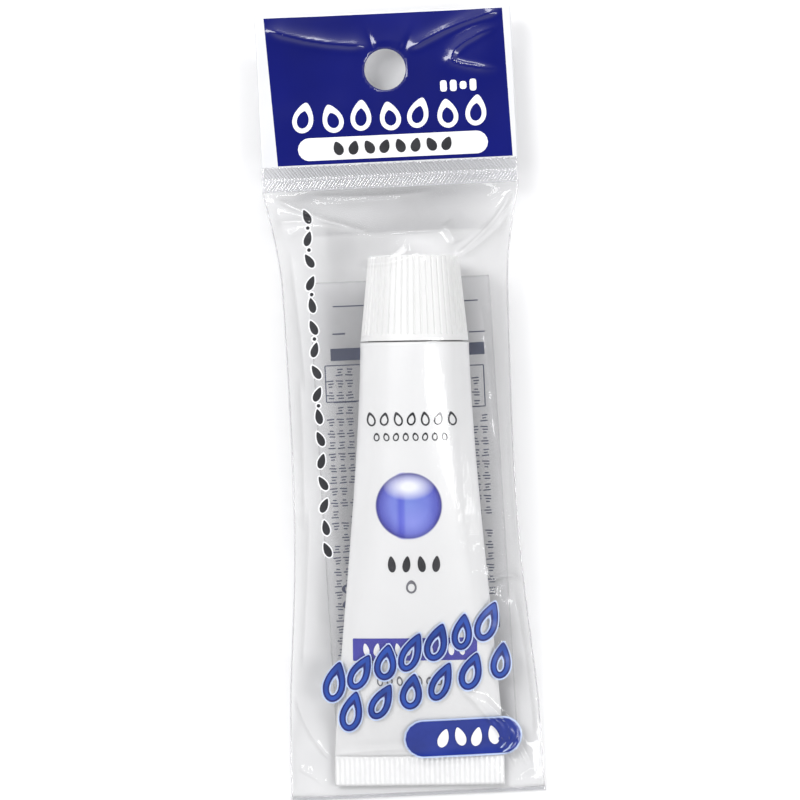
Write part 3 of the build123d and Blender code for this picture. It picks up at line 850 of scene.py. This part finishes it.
BALL_X, BALL_Y, BALL_R = 1.4, -20.3, 6.85
# The printed ball: a blue disc that darkens to a thin dark rim and grows paler towards the bottom. Its
# material also paints a white highlight near the top and a dark streak of shade left of centre.
ball_print_and_painted_light = material("ball_print_and_painted_light", (0.1, 0.12, 0.6), 0.25, coat=0.3)
tree = ball_print_and_painted_light.node_tree
place = tree.nodes.new("ShaderNodeTexCoord").outputs["Object"]
centred = tree.nodes.new("ShaderNodeMapping")
centred.inputs["Location"].default_value = (-BALL_X / BALL_R, -BALL_Y / BALL_R, 0)
centred.inputs["Scale"].default_value = (1 / (BALL_R * MM), 1 / (BALL_R * MM), 0)
far = tree.nodes.new("ShaderNodeVectorMath")
far.operation = "LENGTH"
body = tree.nodes.new("ShaderNodeValToRGB")
for position, colour in (
    (0.0, (0.21, 0.28, 0.76)), (0.55, (0.17, 0.21, 0.7)), (0.84, (0.07, 0.08, 0.5)),
    (0.95, (0.016, 0.014, 0.24)), (1.0, (0.01, 0.007, 0.12)),
):
    stop = body.color_ramp.elements.new(position)
    stop.color = (*colour, 1)
body.color_ramp.elements.remove(body.color_ramp.elements[0])
body.color_ramp.elements.remove(body.color_ramp.elements[-1])
parts = tree.nodes.new("ShaderNodeSeparateXYZ")
# painted highlight: white near the top of the ball
painted_highlight_place = tree.nodes.new("ShaderNodeMapping")
painted_highlight_place.inputs["Location"].default_value = (0, -1.3, 0)
painted_highlight_place.inputs["Scale"].default_value = (1.25, 2.3, 0)
top_far = tree.nodes.new("ShaderNodeVectorMath")
top_far.operation = "LENGTH"
painted_highlight_ramp = tree.nodes.new("ShaderNodeValToRGB")
painted_highlight_ramp.color_ramp.elements[0].position = 0.25
painted_highlight_ramp.color_ramp.elements[0].color = (0.95, 0.95, 0.95, 1)
painted_highlight_ramp.color_ramp.elements[1].position = 0.95
painted_highlight_ramp.color_ramp.elements[1].color = (0, 0, 0, 1)
low_light = tree.nodes.new("ShaderNodeMapping")
low_light.inputs["Location"].default_value = (-0.12, 0.6, 0)
low_light.inputs["Scale"].default_value = (1.05, 1.2, 0)
low_far = tree.nodes.new("ShaderNodeVectorMath")
low_far.operation = "LENGTH"
low_ramp = tree.nodes.new("ShaderNodeValToRGB")
low_ramp.color_ramp.elements[0].position = 0.05
low_ramp.color_ramp.elements[0].color = (0.75, 0.75, 0.75, 1)
low_ramp.color_ramp.elements[1].position = 0.75
low_ramp.color_ramp.elements[1].color = (0, 0, 0, 1)
first = tree.nodes.new("ShaderNodeMix")
first.data_type = "RGBA"
first.inputs[7].default_value = (0.3, 0.34, 0.85, 1)
second = tree.nodes.new("ShaderNodeMix")
second.data_type = "RGBA"
second.inputs[7].default_value = (0.95, 0.96, 1.0, 1)
# painted shade: a darker vertical streak left of the ball's centre
painted_streak_shade = tree.nodes.new("ShaderNodeValToRGB")
for position, grey in ((0.3, 1.0), (0.37, 0.5), (0.42, 0.62), (0.46, 1.0)):
    painted_streak_shade.color_ramp.elements.new(position).color = (grey, grey, grey * 0.2 + 0.8, 1)
painted_streak_shade.color_ramp.elements.remove(painted_streak_shade.color_ramp.elements[0])
halved = tree.nodes.new("ShaderNodeMath")
halved.operation = "MULTIPLY_ADD"
halved.inputs[1].default_value = 0.5
halved.inputs[2].default_value = 0.5
streak_shaded = tree.nodes.new("ShaderNodeMix")
streak_shaded.data_type = "RGBA"
streak_shaded.blend_type = "MULTIPLY"
streak_shaded.inputs[0].default_value = 1.0
tree.links.new(centred.outputs["Vector"], parts.inputs[0])
tree.links.new(parts.outputs["X"], halved.inputs[0])
tree.links.new(halved.outputs[0], painted_streak_shade.inputs["Fac"])
shader = tree.nodes["Principled BSDF"]
tree.links.new(place, centred.inputs["Vector"])
tree.links.new(centred.outputs["Vector"], far.inputs[0])
tree.links.new(far.outputs["Value"], body.inputs["Fac"])
tree.links.new(centred.outputs["Vector"], painted_highlight_place.inputs["Vector"])
tree.links.new(painted_highlight_place.outputs["Vector"], top_far.inputs[0])
tree.links.new(top_far.outputs["Value"], painted_highlight_ramp.inputs["Fac"])
tree.links.new(centred.outputs["Vector"], low_light.inputs["Vector"])
tree.links.new(low_light.outputs["Vector"], low_far.inputs[0])
tree.links.new(low_far.outputs["Value"], low_ramp.inputs["Fac"])
tree.links.new(low_ramp.outputs["Color"], first.inputs[0])
tree.links.new(body.outputs["Color"], first.inputs[6])
tree.links.new(painted_highlight_ramp.outputs["Color"], second.inputs[0])
tree.links.new(first.outputs[2], streak_shaded.inputs[6])
tree.links.new(painted_streak_shade.outputs["Color"], streak_shaded.inputs[7])
tree.links.new(streak_shaded.outputs[2], second.inputs[6])
tree.links.new(second.outputs[2], shader.inputs["Base Color"])
ball = drop(BALL_X, BALL_Y, 2 * BALL_R, 2 * BALL_R, 0, 0.0, rings=14, around=80)
marks("tube_ball", [ball], tube_top, 0.06, ball_print_and_painted_light)

# ---- carried-over nodes get finer materials --------------------------------------------------------
for node, mat in (
    ("cap_shell", WHITE_CAP), ("shoulder_nozzle", NATURAL), ("barrier_insert", NATURAL),
    ("nozzle_seal", FOIL), ("paint_fill", PAINT), ("cap_liner", LINER),
):
    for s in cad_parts[node].material_slots:
        s.material = mat

# ---- floor, light and camera --------------------------------------------------------------------------
FLOOR_HALF, FLOOR_DROP = 6.0, 0.00005  # metres
floor_corners = []
for x, y in ((-1, -1), (1, -1), (1, 1), (-1, 1)):
    floor_corners.append((x * FLOOR_HALF, y * FLOOR_HALF, -FLOOR_DROP))
floor_mesh = bpy.data.meshes.new("floor")
floor_mesh.from_pydata(floor_corners, [], [(0, 1, 2, 3)])
floor = bpy.data.objects.new("floor", floor_mesh)
bpy.context.scene.collection.objects.link(floor)
floor_mesh.materials.append(material("floor_paper", (0.86, 0.86, 0.865), 0.75, 0.01, 40))

world = bpy.data.worlds.new("studio")
world.use_nodes = True
sky = world.node_tree
sky.nodes["Background"].inputs["Strength"].default_value = 1.0
direction = sky.nodes.new("ShaderNodeTexCoord")
upward = sky.nodes.new("ShaderNodeSeparateXYZ")
studio = sky.nodes.new("ShaderNodeValToRGB")
studio.color_ramp.elements[0].position = 0.0
studio.color_ramp.elements[0].color = (0.56, 0.562, 0.57, 1)
studio.color_ramp.elements[1].position = 1.0
studio.color_ramp.elements[1].color = (0.07, 0.072, 0.078, 1)
studio.color_ramp.elements.new(0.4).color = (0.66, 0.66, 0.67, 1)
studio.color_ramp.elements.new(0.75).color = (0.86, 0.86, 0.865, 1)
studio.color_ramp.elements.new(0.93).color = (0.24, 0.242, 0.25, 1)
sky.links.new(direction.outputs["Generated"], upward.inputs[0])
sky.links.new(upward.outputs["Z"], studio.inputs["Fac"])
sky.links.new(studio.outputs["Color"], sky.nodes["Background"].inputs["Color"])
bpy.context.scene.world = world


def softbox(name, place, target, wide, tall, watts):
    light = bpy.data.lights.new(name, "AREA")
    light.shape = "RECTANGLE"
    light.size, light.size_y, light.energy = wide, tall, watts
    lamp = bpy.data.objects.new(name, light)
    lamp.location = place
    lamp.rotation_euler = (Vector(target) - Vector(place)).to_track_quat("-Z", "Y").to_euler()
    bpy.context.scene.collection.objects.link(lamp)


softbox("key", (-0.5, 0.3, 0.8), (0, 0, 0), 0.24, 0.6, 5.2)
softbox("fill", (0.6, -0.15, 0.7), (0, 0, 0), 0.16, 0.55, 3.0)
softbox("head", (0.05, 0.75, 0.6), (0, 0, 0), 0.5, 0.12, 2.1)

camera_data = bpy.data.cameras.new("camera")
camera_data.lens = 220
camera_data.sensor_width = 36
camera_data.clip_start = 0.01
camera = bpy.data.objects.new("camera", camera_data)
camera.location = (-0.0001, 0.001, 1.0)
camera.rotation_euler = (0, 0, radians(-0.73))
bpy.context.scene.collection.objects.link(camera)
bpy.context.scene.camera = camera
bpy.context.scene.view_settings.view_transform = "Standard"
